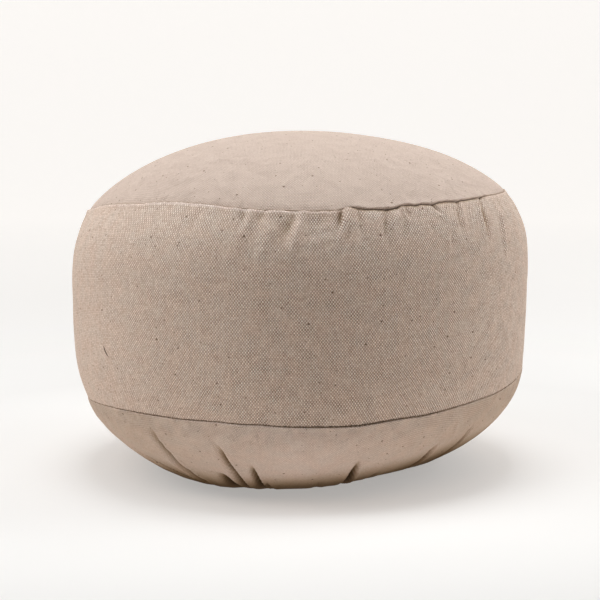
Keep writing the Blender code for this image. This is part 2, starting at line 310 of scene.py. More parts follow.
# %% Swells
ZONE_STARTS = {"crown": 0.0, "band": 1.0, "under": 2.0}  # so that the lumps differ from zone to zone
BROAD_HEIGHT, SMALL_HEIGHT = 0.35, 0.09  # in mm
CROWN_BROAD, CROWN_SMALL = 0.7, 0.4  # the share of each that the top panel has
CALM_MIDDLE, CALM_FOOT = 0.5, 0.25  # shares over which they fade out at the top's middle and the foot


def waves(seed, count, low, high, azimuth, along=0.0, reach=0.0):
    """A seeded sum of waves round the cushion and along the section, about 1 high."""
    draw = np.random.default_rng(seed)
    total = np.zeros(np.broadcast(azimuth, along).shape)
    for _ in range(count):
        turns = int(draw.integers(low, high + 1))
        lengthwise = draw.uniform(-reach, reach)
        phase = draw.uniform(0, 2 * math.pi)
        total = total + np.sin(np.radians(azimuth) * turns + along * lengthwise + phase)
    return total / math.sqrt(count)


def swells(zone, azimuth, share):
    """Lumps of the fill, in metres."""
    along = share + ZONE_STARTS[zone]
    broad = waves(11, 9, 3, 9, azimuth, along, 9.0) * BROAD_HEIGHT
    small = waves(12, 14, 14, 34, azimuth, along, 38.0) * SMALL_HEIGHT
    if zone == "crown":
        return (CROWN_BROAD * broad + CROWN_SMALL * small) * smooth(share / CALM_MIDDLE) * MM
    if zone == "under":
        return (broad + small) * smooth((1 - share) / CALM_FOOT) * MM
    return (broad + small) * MM


highest = float(np.abs(swells("band", np.arange(360.0), 0.5)).max() / MM)
print("swells on the band are within", round(highest, 2), "mm")

# %% [markdown]
# ## How the seams look
# Where two pieces meet, each turns over its own edge and dives into the seam. On the left the band's edge
# stands a little proud of the panel. On the right of the front the panel's edge puffs out over the band,
# and the shadow under it makes a dark wavy line, which painted shade further on makes darker. Along the
# bottom seam the panel's edge is a small roll under the band. The tables give, round each seam, how far
# each edge stands proud, over what width it rolls and how deep it plunges.

# %% Seam tables
def read_rows(parts, rows):
    """Rows of an azimuth and values, in order; the values are written in so many parts of one."""
    table = np.array(sorted(rows), float)
    table[:, 1:] /= parts
    return table


# azimuth, then in tenths of a mm: the panel's proud, roll and plunge, and the band's
TOP_EDGES = read_rows(10, (
    (0, -3, 5, 5, 5, 12, 12), (20, -5, 5, 4, 7, 16, 14), (60, 5, 7, 8, 0, 10, 16),
    (100, -3, 5, 5, 5, 12, 12), (150, -5, 5, 4, 7, 16, 14), (200, -6, 5, 3, 9, 18, 14),
    (225, -6, 5, 3, 10, 19, 14), (245, -6, 5, 3, 10, 19, 14), (262, -6, 5, 3, 9, 18, 14),
    (276, -5, 5, 4, 9, 17, 14), (281.6, -4, 5, 5, 8, 15, 15), (283.6, 6, 5, 7, 0, 9, 20),
    (288, 9, 5, 8, -2, 10, 21), (316, 8, 5, 8, -2, 9, 21), (325, 5, 5, 7, 0, 8, 18),
    (330, -1, 5, 5, 5, 12, 14), (340, -5, 5, 4, 8, 16, 14),
))
BOTTOM_EDGES = read_rows(10, (
    (0, 3, 7, 6, 1, 4, 5), (45, 5, 9, 8, 0, 5, 7), (90, 6, 11, 10, -1, 6, 9), (135, 5, 10, 9, 0, 5, 7),
    (180, 4, 7, 6, 1, 4, 5), (215, 4, 8, 6, 1, 4, 5), (235, 6, 9, 8, 0, 5, 7), (270, 7, 10, 10, -1, 6, 9),
    (300, 7, 10, 10, -1, 6, 9), (325, 4, 8, 7, 1, 4, 6), (345, 3, 7, 6, 1, 4, 5),
))

# azimuth and how far the top seam's line rises there, in tenths of a mm
TOP_SEAM_LINE = read_rows(10, (
    (20, 3), (48, -4), (75, 3), (110, -4), (150, 4), (180, 0), (197, 2), (205, 0), (212, -9), (217, -18),
    (221, -23), (226, -22), (229, -9), (232, 2), (237, 12), (242, 14), (245.5, 13), (249, 10), (252, 3),
    (256.5, 1), (258, -4), (262.5, -2), (266, 2), (268.5, 1), (270.5, -5), (273, -5), (275, 0), (277.2, -3),
    (279, 2), (280.7, 12), (282.7, 17), (284.4, 9), (286, -4), (288.5, -8), (291, -11), (292.8, -13),
    (294.4, -4), (296, 5), (297.8, 3), (299, -8), (300.7, 1), (302.5, -4), (304.3, -9), (306.3, 0),
    (309.5, 3), (312.3, -5), (315.5, -3), (318.8, 1), (323, 1), (327, 3), (331, -3), (337, -11), (345, -18),
    (352, -18), (2, -8),
))

# the same for the bottom seam
BOTTOM_SEAM_LINE = read_rows(10, (
    (15, 4), (40, -5), (70, 3), (100, -4), (130, 5), (165, -4), (195, 3), (215, 2), (228, -3), (240, -3),
    (246, 3), (251, 9), (256, 4), (260.7, 6), (265.4, -3), (270, -9), (274.6, -13), (279.3, -19),
    (284, -22), (288.8, -13), (294, -7), (300, -12), (306, -7), (312, 0), (319, 3), (327, -3), (340, 2),
))

# from here on in hundredths: azimuth, the painted shade of the panel at the top seam, the band's there, and
# the painted highlight on the band's crest
TOP_SEAM_PAINTED_TONES = read_rows(100, (
    (0, -10, -15, 8), (20, -10, -5, 12), (60, 0, -45, 0), (100, -10, -15, 8), (150, -10, -5, 12),
    (200, -10, -2, 12), (216, -20, -2, 14), (232, -12, -2, 20), (262, -8, -2, 24), (276, -16, -5, 18),
    (281.8, -12, -15, 12), (283.4, 0, -62, 0), (288, 0, -70, 0), (298, 0, -62, 0), (312, 0, -48, 0),
    (324, -3, -40, 0), (329, -10, -10, 10), (340, -10, -5, 14),
))

# azimuth and how dark the line of painted shade along the bottom seam is
BOTTOM_SEAM_PAINTED_SHADE = read_rows(100, (
    (0, -25), (90, -45), (180, -25), (215, -20), (240, -25), (262, -45), (280, -60), (298, -45), (320, -20),
    (345, -20),
))

# azimuth, the share of the way to the foot at which its painted shade begins, and a painted lighter or darker
# tone of the bottom panel
UNDERSIDE = read_rows(100, (
    (0, 32, -10), (45, 38, -5), (90, 43, 5), (135, 39, -5), (180, 36, -10), (225, 40, -9), (250, 47, 2),
    (270, 44, 10), (300, 37, -2), (323, 30, -12), (345, 29, -12),
))

# azimuth and how crisp the weave of the band looks there, in its painted shade and its bumps: strong in
# front, faint at the sides, after how the light shows its relief
BAND_WEAVE = read_rows(100, (
    (0, 78), (60, 72), (150, 62), (185, 38), (212, 40), (238, 80), (262, 110), (305, 115), (330, 105),
))

EDGE_REACH = 3.0 * MM  # how far from a seam its turned edge stands proud
BLUR = ((-0.4, 0.25), (0.0, 0.5), (0.4, 0.25))  # degrees aside and weight, so that no table shows its corners


def read_table(table, column, azimuth):
    """A column of an uneven table at any azimuth, closed on itself."""
    azimuth = np.asarray(azimuth) % 360
    places = np.concatenate([table[-1:, 0] - 360, table[:, 0], table[:1, 0] + 360])
    values = np.concatenate([table[-1:, column], table[:, column], table[:1, column]])
    softened = 0.0
    for aside, weight in BLUR:
        softened = softened + weight * np.interp((azimuth + aside) % 360, places, values)
    return softened


def edge_turn(table, columns, azimuth, distance):
    """How far an edge stands out at a distance from its seam: proud near it, then rolled down into it."""
    proud, roll, plunge = (read_table(table, column, azimuth) * MM for column in columns)
    turn = np.clip(1 - distance / roll, 0, 1)
    return proud * bell(distance, EDGE_REACH) - plunge * (1 - np.sqrt(np.maximum(1 - turn**2, 0.0)))


print("top seam wanders by", np.ptp(TOP_SEAM_LINE[:, 1]), "mm beyond its lean")

# %% [markdown]
# ## One place on the cloth
# Every piece is read from one function: a zone of the section, an azimuth and a share along the curve give
# a point on the cloth's face. It adds the folds, the swells, the seam's wandering and the turned edge, and
# can go below the face by the cloth's thickness. Cloth that would pass through the floor lies flat on it.

# %% Place on the cloth
SLOPE_STEP = 1e-4
LINE_REACH = 9.0 * MM  # how far from a seam its wandering fades
RIPPLE_REACH, RIPPLE_HEIGHT = 7.0 * MM, 0.13  # small puckers that the stitches make, their height in mm
TUG_REACH, TUG_HEIGHT = 2.2 * MM, 0.12  # and the tug of each stitch


def on_circle(azimuth, radius):
    """Two columns of coordinates at azimuths round the middle."""
    turn = np.radians(azimuth)
    return np.stack([radius * np.cos(turn), radius * np.sin(turn)], axis=1)


def on_cloth(zone, azimuth, share, depth=0.0, edges=True, onward=0.0):
    """Points (n, 3) on a zone, depth below its face, with or without the turned edges."""
    azimuth, share = np.broadcast_arrays(np.asarray(azimuth, float), np.asarray(share, float))
    azimuth, share = azimuth.ravel(), share.ravel()
    sizes = sizes_at(azimuth)
    curve = ZONES[zone]
    radius, height = curve(sizes, share)
    low = np.maximum(share - SLOPE_STEP, 0.0)
    high = np.minimum(share + SLOPE_STEP, 1.0)
    low_radius, low_height = curve(sizes, low)
    high_radius, high_height = curve(sizes, high)
    length = np.hypot(high_radius - low_radius, high_height - low_height)
    ahead_radius = (high_radius - low_radius) / length
    ahead_height = (high_height - low_height) / length
    pace = length / (high - low)
    out = fold_relief(zone, azimuth, share, radius) + swells(zone, azimuth, share)
    from_top = (1 - share if zone == "crown" else share) * pace
    from_bottom = (share if zone == "under" else 1 - share) * pace
    ripple = waves(21, 9, 70, 150, azimuth) * RIPPLE_HEIGHT * MM
    tug = waves(22, 7, 240, 345, azimuth) * TUG_HEIGHT * MM
    near_top = ripple * bell(from_top, RIPPLE_REACH) + tug * bell(from_top, TUG_REACH)
    near_bottom = ripple * bell(from_bottom, RIPPLE_REACH) + tug * bell(from_bottom, TUG_REACH)
    if zone != "under":
        onward = onward - read_table(TOP_SEAM_LINE, 1, azimuth) * MM * bell(from_top, LINE_REACH)
    if zone != "crown":
        onward = onward - read_table(BOTTOM_SEAM_LINE, 1, azimuth) * MM * bell(from_bottom, LINE_REACH)
    if zone == "crown":
        out = out + near_top
        turned = ((TOP_EDGES, (1, 2, 3), from_top),)
    elif zone == "band":
        out = out - near_top - near_bottom
        turned = ((TOP_EDGES, (4, 5, 6), from_top), (BOTTOM_EDGES, (4, 5, 6), from_bottom))
    else:
        out = out + near_bottom
        turned = ((BOTTOM_EDGES, (1, 2, 3), from_bottom),)
    if edges:
        for table, columns, distance in turned:
            out = out + edge_turn(table, columns, azimuth, distance)
    out = out - depth
    radius = radius - ahead_height * out + ahead_radius * onward
    height = height + ahead_radius * out + ahead_height * onward
    return np.column_stack([on_circle(azimuth, radius), np.maximum(height, depth)])


front = on_cloth("band", 270.0, 0.5)[0]
print("front of the band is", round(-front[1] * 1000, 1), "mm from the middle")

# %% [markdown]
# ## Painted shade in the creases and seams
# The light in a studio is soft, and a model's creases fill with it more than real ones do. Four values at
# each point of the mesh help. Three are a colour with painted shade and painted highlights in it: darker
# and warmer down in a trough or a seam, a little lighter on a ridge, on the band's upper edge and on the
# bottom panel's rolled edge, and much darker towards the foot, with a painted lighter or darker tone round
# the bottom panel. The fourth says how crisp the weave looks there. They go with the cloth, so they hold
# from every side.

# %% Painted shade and highlights of creases and seams
ZONE_LENGTHS = {"crown": 0.158, "band": 0.137, "under": 0.111}  # each zone's curve, in metres
CREASE_START, CREASE_DEPTH, CREASE_DARK = 0.3, 3.0, 0.68  # painted shade in a trough: depths in mm where it begins, and is full
RIDGE_HEIGHT, RIDGE_LIGHT = 1.5, 0.05  # painted highlight on a ridge: in mm, a ridge that is as light as one gets
UNDERSIDE_WIDTH, UNDERSIDE_DARK = 0.3, 0.79  # the share over which the underside darkens with painted shade towards the foot
DARKEST = 0.05
PANEL_LINE, BAND_LINE, LOW_LINE = 0.8 * MM, 0.9 * MM, 0.5 * MM  # widths of the lines of painted shade at the seams
CREST_PLACE, CREST_WIDTH = 1.0 * MM, 0.6 * MM  # a painted highlight: the light line on the band's upper edge
ROLL_PLACE, ROLL_WIDTH, ROLL_LIGHT = 1.3 * MM, 0.7 * MM, 0.12  # and a painted highlight on the bottom panel's rolled edge
STITCHES_ROUND, DASH_MIDDLE, DASH_SWING = 331, 0.55, 0.45  # the bottom seam's line of painted shade is broken
RUBBED_PLACE, RUBBED_WIDTH, RUBBED = 1.1 * MM, 1.2 * MM, 0.7  # no weave shows on the band's upper edge
UNDER_CRISP, UNDER_LOSS, UNDER_FADE = 1.4, 1.0, 0.42  # and it fades below the bottom seam
WARMTH = (1.0, 1.18, 1.55)  # light that bounces in a crease turns warm: powers for red, green and blue


def tone_at(zone, azimuth, share):
    """Four values (n, 4): the colour that the cloth is multiplied by, with painted shade and painted
    highlights in it, and how crisp its weave looks.
    """
    azimuth, share = np.broadcast_arrays(np.asarray(azimuth, float), np.asarray(share, float))
    azimuth, share = azimuth.ravel(), share.ravel()
    radius = ZONES[zone](sizes_at(azimuth), share)[0]
    from_top = (1 - share if zone == "crown" else share) * ZONE_LENGTHS[zone]
    from_bottom = (share if zone == "under" else 1 - share) * ZONE_LENGTHS[zone]
    trough = -fold_relief(zone, azimuth, share, radius) / MM
    # painted shade down in the troughs of the folds, and a painted highlight on their ridges
    tone = 1 - CREASE_DARK * smooth((trough - CREASE_START) / CREASE_DEPTH)
    tone = tone + RIDGE_LIGHT * smooth(-trough / RIDGE_HEIGHT)
    crisp = np.ones_like(tone)
    if zone == "crown":
        # painted shade along the top seam on the panel
        tone = tone * (1 + read_table(TOP_SEAM_PAINTED_TONES, 1, azimuth) * bell(from_top, PANEL_LINE))
    if zone == "band":
        # painted shade along the top seam on the band, and a painted highlight on its upper edge
        tone = tone * (1 + read_table(TOP_SEAM_PAINTED_TONES, 2, azimuth) * bell(from_top, BAND_LINE))
        tone = tone * (1 + read_table(TOP_SEAM_PAINTED_TONES, 3, azimuth) * bell(from_top - CREST_PLACE, CREST_WIDTH))
        rubbed = RUBBED * bell(from_top - RUBBED_PLACE, RUBBED_WIDTH)
        crisp = read_table(BAND_WEAVE, 1, azimuth) * (1 - rubbed)
    if zone != "crown":
        # painted shade along the bottom seam, broken into dashes
        dashed = DASH_MIDDLE + DASH_SWING * np.cos(np.radians(azimuth) * STITCHES_ROUND)
        tone = tone * (1 + read_table(BOTTOM_SEAM_PAINTED_SHADE, 1, azimuth) * dashed * bell(from_bottom, LOW_LINE))
    if zone == "under":
        # a painted highlight on the bottom panel's rolled edge
        tone = tone * (1 + ROLL_LIGHT * bell(from_bottom - ROLL_PLACE, ROLL_WIDTH))
        # painted shade towards the foot, then a painted lighter or darker tone of the bottom panel by azimuth
        darkening = smooth((share - read_table(UNDERSIDE, 1, azimuth)) / UNDERSIDE_WIDTH)
        tone = tone * (1 - UNDERSIDE_DARK * darkening)
        tone = tone * (1 + read_table(UNDERSIDE, 2, azimuth))
        crisp = UNDER_CRISP - UNDER_LOSS * smooth(share / UNDER_FADE)
    tone = np.maximum(tone, DARKEST)
    return np.stack([tone ** WARMTH[0], tone ** WARMTH[1], tone ** WARMTH[2], crisp], axis=1)


print("tone in the deepest gather:", np.round(tone_at("under", 251.0, 0.35)[0], 2))

# %% [markdown]
# ## Canvas
# The cloth is a heavy plain weave, about eleven yarns to the centimetre one way and nine the other. The
# spun cotton is uneven: thick stretches, a shade of difference from yarn to yarn, and dark flecks of seed.
# The weave is worked out from the cloth's own flat coordinates in metres, so its threads run with each cut
# piece. The shade of its relief, the checker of the two yarns and the dark valleys between them, is painted
# into the colour as well as given to the bumps. How strongly it shows comes from the fourth value in the
# mesh, strong on the front of the band and faint at its sides, after how the light shows the relief there.

# %% Node helpers
def wire(tree, kind, inputs=(), **settings):
    """A new node with its settings made and its inputs filled from values or from other nodes' outputs."""
    node = tree.nodes.new(kind)
    for name, value in settings.items():
        setattr(node, name, value)
    for key, value in dict(inputs).items():
        if isinstance(value, bpy.types.NodeSocket):
            tree.links.new(value, node.inputs[key])
        else:
            node.inputs[key].default_value = value
    return node


def calculate(tree, operation, *values):
    """The output of one Math node."""
    return wire(tree, "ShaderNodeMath", dict(enumerate(values)), operation=operation).outputs[0]


def vectors(tree, operation, *values):
    """The output of one Vector Math node."""
    return wire(tree, "ShaderNodeVectorMath", dict(enumerate(values)), operation=operation).outputs[0]


def mix_colours(tree, blend, factor, first, second):
    """The output of one colour Mix node."""
    inputs = {0: factor, 6: first, 7: second}
    return wire(tree, "ShaderNodeMix", inputs, data_type="RGBA", blend_type=blend).outputs[2]


def between(tree, factor, first, second):
    """The first value where the factor is 0, the second where it is 1."""
    return wire(tree, "ShaderNodeMix", {0: factor, 2: first, 3: second}).outputs[0]


def ramp(tree, value, start, end, low=0.0, high=1.0, kind="SMOOTHSTEP"):
    """From low to high as a value goes from start to end."""
    inputs = {0: value, 1: start, 2: end, 3: low, 4: high}
    return wire(tree, "ShaderNodeMapRange", inputs, interpolation_type=kind).outputs[0]


def noise(tree, place, scale, detail=2.0, roughness=0.5):
    """A noise texture's number, 0.5 on average."""
    settings = {"Vector": place, "Scale": scale, "Detail": detail, "Roughness": roughness}
    return wire(tree, "ShaderNodeTexNoise", settings).outputs[0]


def new_finish(name, settings):
    """A new material with its node tree and its shader, and settings made on the shader's own sockets."""
    material = bpy.data.materials.new(name)
    material.use_nodes = True
    shader = material.node_tree.nodes["Principled BSDF"]
    for socket, value in settings.items():
        shader.inputs[socket].default_value = value
    return material, material.node_tree, shader


def feed(tree, shader, colour, relief, height):
    """Gives a shader its colour and its fine relief."""
    tree.links.new(colour, shader.inputs["Base Color"])
    bump = wire(tree, "ShaderNodeBump", {"Height": relief, "Strength": 1.0, "Distance": height})
    tree.links.new(bump.outputs[0], shader.inputs["Normal"])

# %% Weave
YARN_ACROSS = 0.935 * MM
YARN_UP = 1.17 * MM
CRIMP = 0.30  # how much prouder the upright yarns stand where they pass over
CRIMP_SPREAD, CRIMP_LEAST = 1.3, 0.35  # and how that differs from crossing to crossing


def weave(tree, across, up, crossing):
    """Height of a plain weave, about 0 to 1, and which yarn is on top (1 for the upright one)."""
    work = partial(calculate, tree)
    wave_across = work("SINE", work("MULTIPLY", across, math.pi))
    wave_up = work("SINE", work("MULTIPLY", up, math.pi))
    round_across = work("SQRT", work("ABSOLUTE", wave_across))
    round_up = work("SQRT", work("ABSOLUTE", wave_up))
    upright = work("MULTIPLY_ADD", work("SIGN", wave_across), wave_up, round_across)
    level = work("SUBTRACT", round_up, work("MULTIPLY", work("SIGN", wave_up), wave_across))
    crown_of_yarn = work("MULTIPLY", work("MAXIMUM", upright, level), 0.5)
    on_top = work("GREATER_THAN", upright, level)
    checker = work("MULTIPLY", wave_across, wave_up)
    uneven = work("MULTIPLY", checker, work("MULTIPLY_ADD", crossing, CRIMP_SPREAD, CRIMP_LEAST))
    return work("MULTIPLY_ADD", uneven, CRIMP, crown_of_yarn), on_top, checker


print("weave:", round(0.01 / YARN_ACROSS, 1), "by", round(0.01 / YARN_UP, 1), "yarns a centimetre")

# %% Canvas material
CANVAS_COLOUR = (0.584, 0.452, 0.366, 1.0)
WARM_COLOUR = (0.598, 0.448, 0.357, 1.0)
TOP_COLOUR = (0.578, 0.442, 0.363, 1.0)
SEED_COLOUR = (0.15, 0.09, 0.055, 1.0)
MATTE = {"Roughness": 0.95, "Specular IOR Level": 0.12}
YARN_WANDERS = ((45.0, 1.8 * MM), (260.0, 0.7 * MM))  # how often to a metre, and how far
STRETCH = 0.09  # how fast a yarn's tone changes along it
UPRIGHT_STEP, LEVEL_STEP = 7.31, 5.17  # and how far it is drawn from its neighbour's
# painted shade of the weave's relief: the checker of the two yarns and the dark of its valleys; the tones of
# yarn and crossing are the cotton's own
CHECKER_CONTRAST, CROSSING_TONE, YARN_TONE = 0.09, 0.035, 0.03
VALLEY_SHADE, VALLEY_LEVEL = 0.12, 0.75
YARN_TINT = (0.78, 1.0, 1.10)  # powers of the shade for red, green and blue: valleys, where the shade is painted, are warmer than crowns
SPOTS = ((38.0, 3.0, 0.05), (420.0, 2.0, 0.07))  # mottle, then lumps of fibre: how often, detail and tone
LIVELY = (0.35, 0.65, 0.45, 1.45)  # the noise's range, and how flat or lively the weave is at its ends
BLUSH = (0.38, 0.62)  # the noise's range between the cloth's two colours
WEAVE_RELIEF, YARN_RELIEF, FIBRE_RELIEF = 0.28 * MM, 0.5, 0.9
# how many seeds to a metre, the share of them that shows, radius and strength
SEEDS = (
    (58.0, 0.55, 0.72 * MM, 0.9), (105.0, 0.40, 0.48 * MM, 0.8), (150.0, 0.35, 0.34 * MM, 0.5),
    (60.0, 0.35, 1.2 * MM, 0.15),
)
SEED_SIZES = (0.9, 0.4)  # how their sizes differ: spread, and the least
SEED_EDGE = 2.5  # how sharp their edges are


def stray(tree, place, scale, reach):
    """A place moved a little to any side, so that what is drawn there isn't quite regular."""
    inputs = {"Vector": place, "Scale": scale, "Detail": 2.0}
    drift = wire(tree, "ShaderNodeTexNoise", inputs).outputs["Color"]
    centred = vectors(tree, "SUBTRACT", drift, (0.5, 0.5, 0.5))
    return vectors(tree, "MULTIPLY_ADD", centred, (reach, reach, 0.0), place)


def add_seeds(tree, flat, cloth):
    """Flecks of seed in the cloth's colour: a few dark ones, more faint ones."""
    work = partial(calculate, tree)
    edged = stray(tree, flat, 1500.0, 0.8 * MM)
    for scale, chance, size, strength in SEEDS:
        inputs = {"Vector": edged, "Scale": scale, "Randomness": 1.0}
        cells = wire(tree, "ShaderNodeTexVoronoi", inputs, voronoi_dimensions="2D", feature="F1")
        draw = wire(tree, "ShaderNodeSeparateColor", {0: cells.outputs["Color"]})
        reach = work("MULTIPLY", work("MULTIPLY_ADD", draw.outputs[1], *SEED_SIZES), size * scale)
        inside = work("SUBTRACT", 1.0, work("DIVIDE", cells.outputs["Distance"], reach))
        inside = wire(tree, "ShaderNodeClamp", {0: work("MULTIPLY", inside, SEED_EDGE)}).outputs[0]
        chosen = work("LESS_THAN", draw.outputs[0], chance)
        amount = work("MULTIPLY", work("MULTIPLY", inside, chosen), strength)
        cloth = mix_colours(tree, "MIX", amount, cloth, SEED_COLOUR)
    return cloth


def canvas(name, seed, contrast, colour, warm_colour):
    """Unbleached plain-weave canvas on the cloth coordinates of a piece."""
    material, tree, shader = new_finish(name, MATTE)
    make, work = partial(wire, tree), partial(calculate, tree)
    flat = make("ShaderNodeUVMap", uv_map="cloth").outputs[0]
    kept = make("ShaderNodeVertexColor", layer_name="tone")

    # the yarns are never laid quite straight
    laid = flat
    for scale, reach in YARN_WANDERS:
        laid = stray(tree, laid, scale, reach)
    split = make("ShaderNodeSeparateXYZ", {0: laid})
    across = work("DIVIDE", split.outputs[0], YARN_ACROSS)
    up = work("DIVIDE", split.outputs[1], YARN_UP)
    column, row = work("FLOOR", across), work("FLOOR", up)
    cell = make("ShaderNodeCombineXYZ", {0: column, 1: row, 2: seed}).outputs[0]
    crossing = make("ShaderNodeTexWhiteNoise", {"Vector": cell}).outputs["Value"]
    height, on_top, checker = weave(tree, across, up, crossing)

    # one tone for each stretch of yarn
    upright_place = {0: work("MULTIPLY", column, UPRIGHT_STEP), 1: work("MULTIPLY", up, STRETCH), 2: seed}
    level_place = {0: work("MULTIPLY", across, STRETCH), 1: work("MULTIPLY", row, LEVEL_STEP), 2: seed + 4.0}
    level_tone, upright_tone = (
        noise(tree, make("ShaderNodeCombineXYZ", place).outputs[0], 1.0, 1.0)
        for place in (level_place, upright_place)
    )
    yarn = work("SUBTRACT", between(tree, on_top, level_tone, upright_tone), 0.5)

    # shade of the weave: painted shade of its relief as a checker of the two yarns and dark valleys, then the
    # tone of the yarn, and small lumps of fibre
    lively = ramp(tree, noise(tree, flat, 120.0), *LIVELY, kind="LINEAR")
    lively = work("MULTIPLY", lively, kept.outputs["Alpha"])
    shade = work("MULTIPLY_ADD", work("MULTIPLY", checker, lively), CHECKER_CONTRAST * contrast, 1.0)
    valley, lot = work("SUBTRACT", height, VALLEY_LEVEL), work("SUBTRACT", crossing, 0.5)
    for value, amount in ((valley, VALLEY_SHADE), (yarn, YARN_TONE * 2), (lot, CROSSING_TONE * 2)):
        shade = work("MULTIPLY_ADD", value, amount * contrast, shade)
    for scale, detail, amount in SPOTS:
        spot = work("SUBTRACT", noise(tree, flat, scale, detail, 0.6), 0.5)
        shade = work("MULTIPLY_ADD", spot, amount * 2, shade)
    shades = {channel: work("POWER", shade, power) for channel, power in enumerate(YARN_TINT)}
    grey = make("ShaderNodeCombineColor", shades).outputs[0]
    blush = ramp(tree, noise(tree, flat, 85.0, 1.0), *BLUSH, kind="LINEAR")
    cloth = mix_colours(tree, "MULTIPLY", 1.0, mix_colours(tree, "MIX", blush, colour, warm_colour), grey)
    # the mesh's painted shade and painted highlights multiply the cloth's colour
    cloth = mix_colours(tree, "MULTIPLY", 1.0, add_seeds(tree, flat, cloth), kept.outputs["Color"])

    # relief: the weave, livelier here and flatter there, and loose fibre on top
    relief = work("MULTIPLY", work("MULTIPLY_ADD", yarn, YARN_RELIEF, height), lively)
    relief = work("MULTIPLY_ADD", noise(tree, flat, 800.0), FIBRE_RELIEF, relief)
    feed(tree, shader, cloth, relief, WEAVE_RELIEF)
    return material


# each piece has its own strength of the weave's painted shade, and the top panel a colour of its own, set to
# how each looks under its light
top_canvas = canvas("top_canvas", 0.0, 1.2, TOP_COLOUR, TOP_COLOUR)
side_canvas = canvas("side_canvas", 11.0, 4.3, CANVAS_COLOUR, WARM_COLOUR)
bottom_canvas = canvas("bottom_canvas", 23.0, 1.8, CANVAS_COLOUR, WARM_COLOUR)
print("canvas made for", [material.name for material in (top_canvas, side_canvas, bottom_canvas)])

# %% [markdown]
# ## Making a mesh
# Each piece is a closed skin built from rows of points. The flat coordinates of the cloth go in with it,
# one pair for each corner of a face, so that a strip can end where it began without a jump in its weave.

# %% Mesh from points
def add_piece(name, mesh, material):
    """An object with the mesh, smooth-shaded, in one material."""
    mesh.shade_smooth()
    mesh.materials.clear()
    mesh.materials.append(material)
    piece = bpy.data.objects.new(name, mesh)
    bpy.context.scene.collection.objects.link(piece)
    return piece


def new_mesh(name, points, faces):
    """A mesh of points and faces."""
    mesh = bpy.data.meshes.new(name)
    mesh.from_pydata(points, [], faces)
    return mesh


def ring_faces(rings, columns):
    """Ring and column of each four-sided face between rings of points, and its four corners."""
    ring, column = (values.ravel() for values in np.mgrid[:rings - 1, :columns])
    following = (column + 1) % columns
    here, below = ring * columns, (ring + 1) * columns
    corners = (here + column, below + column, below + following, here + following)
    return ring, column, np.stack(corners, axis=1)


def cloth_object(name, points, faces, flat_places, tones, material):
    """A piece of closed faces with the cloth's flat coordinates in metres and its tones: painted shade and
    highlights, and how crisp the weave is.
    """
    mesh = new_mesh(name, points.tolist(), faces.tolist())
    layer = mesh.uv_layers.new(name="cloth")
    layer.data.foreach_set("uv", np.asarray(flat_places, np.float32).ravel())
    tone = mesh.color_attributes.new(name="tone", type="FLOAT_COLOR", domain="POINT")
    tone.data.foreach_set("color", np.asarray(tones, np.float32).ravel())
    return add_piece(name, mesh, material)

# %% [markdown]
# ## The filled body with its side band
# The band is one long strip, joined at the back. It is the only piece that carries the fill, so it is one
# closed body: rings of points run from the middle under the top panel out to the top seam, down the strip,
# and back in over the bottom panel. They are close together near the seams, where the edges turn, and
# coarse where the panels hide them.

# %% Side band
JOIN_AZIMUTH = 97.0
JOIN_DEPTH, JOIN_HALF_WIDTH = 1.1 * MM, 1.0 * MM
JOIN_SPREAD = 1.4  # degrees either side of the join with close points
JOIN_POINTS, ROUND_POINTS = 15, 865
BAND_LENGTH = ZONE_LENGTHS["band"]  # the strip's height between its seams
FIRST_STEPS = np.array([0.0, 0.12, 0.3, 0.55, 0.85, 1.2, 1.7, 2.3, 3.1, 4.1, 5.3]) * MM
BAND_RINGS_BETWEEN = 62
HIDDEN_ABOVE = (0.25, 0.5, 0.72, 0.88, 0.97)  # shares of the rings that the top panel hides
HIDDEN_BELOW = (0.1, 0.22, 0.36, 0.5, 0.64, 0.8, 1.0)  # and the bottom panel


